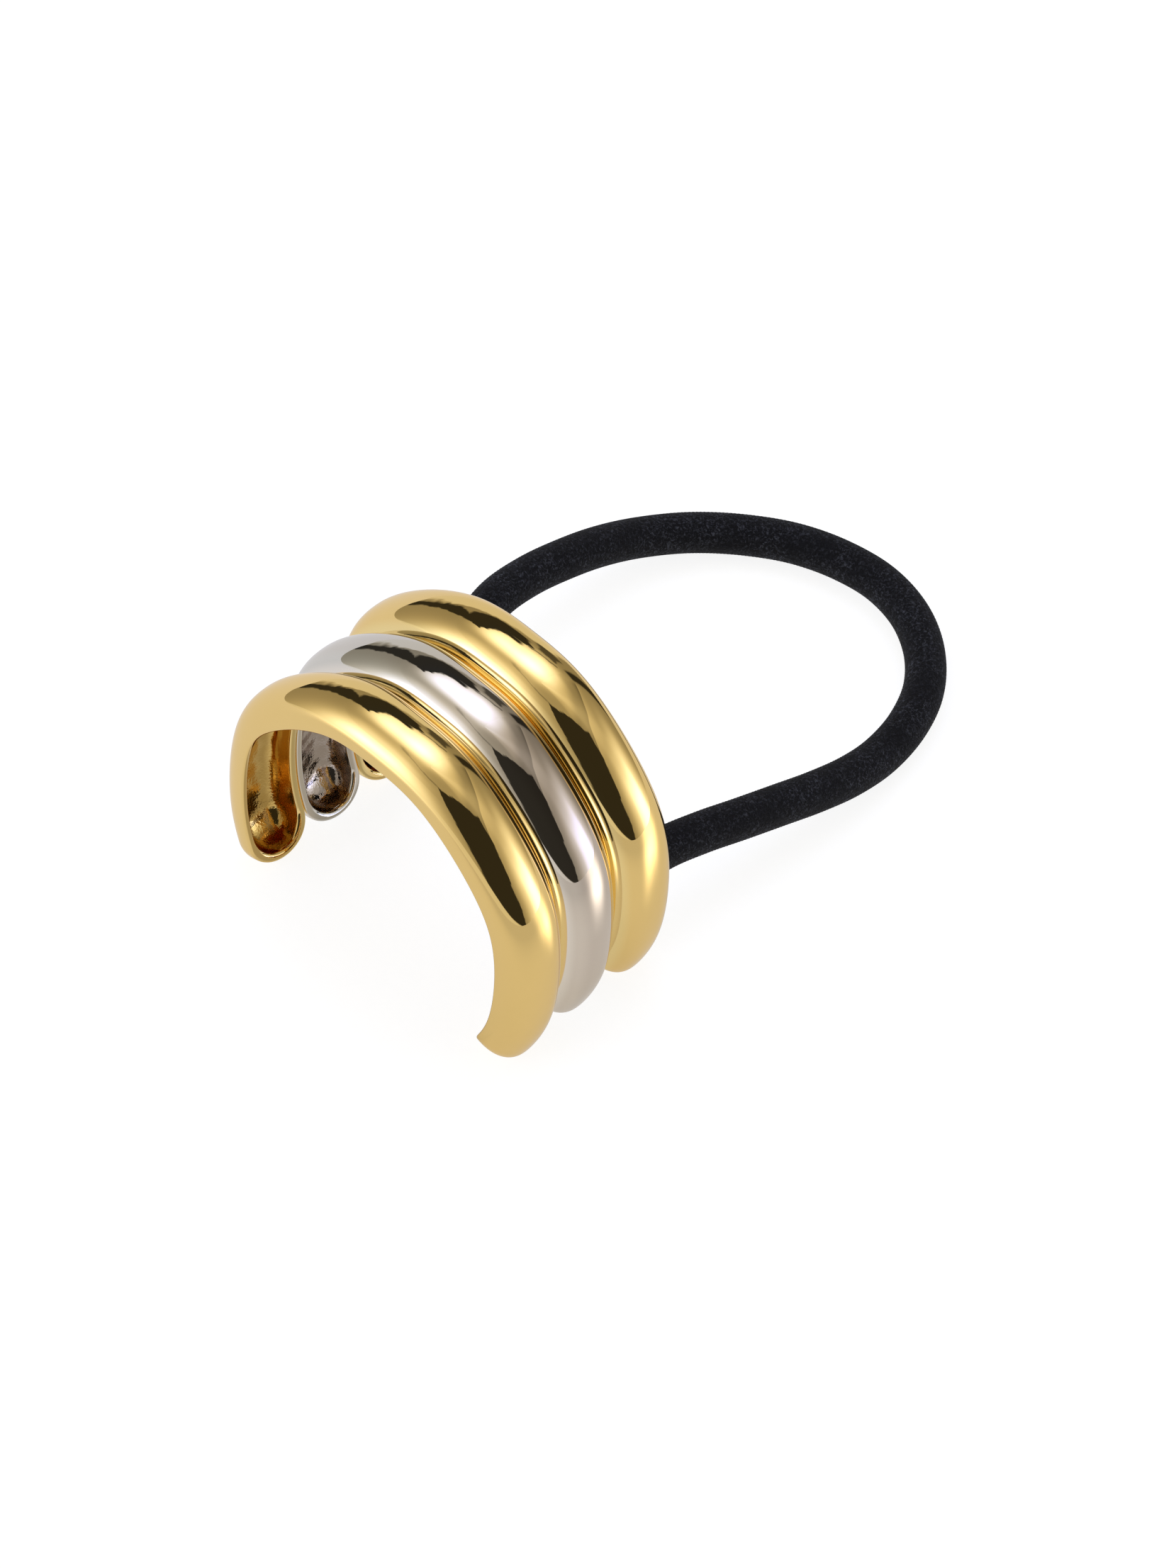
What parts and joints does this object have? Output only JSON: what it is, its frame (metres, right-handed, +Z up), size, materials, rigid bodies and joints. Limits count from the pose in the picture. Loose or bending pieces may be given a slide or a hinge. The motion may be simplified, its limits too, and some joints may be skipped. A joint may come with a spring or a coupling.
{
  "type": "ponytail cuff",
  "caption": "Open arched hair cuff of domed hollow metal ribs in two plated colours, with a loop of round black elastic that leaves it at the rear.",
  "frame": {"origin": "on the ground under the middle of the arch, at the level of the lowest points of the tips", "axes": "+X from the left tips to the right tips, +Y from the front rib to the rear rib and on to the elastic, +Z up"},
  "size_m": [0.0447, 0.0775, 0.0361],
  "materials": {
    "gold_plate": "mirror-polished gold plate outside, cast skin inside",
    "silver_plate": "mirror-polished silver-coloured plate outside, cast skin inside",
    "black_elastic": "knitted cover, matt and slightly fuzzy"
  },
  "bodies": {
    "root": {"front_rib": "gold_plate", "middle_rib": "silver_plate", "rear_rib": "gold_plate", "left_staple": "gold_plate", "right_staple": "gold_plate", "elastic": "black_elastic"}
  },
  "joints": []
}
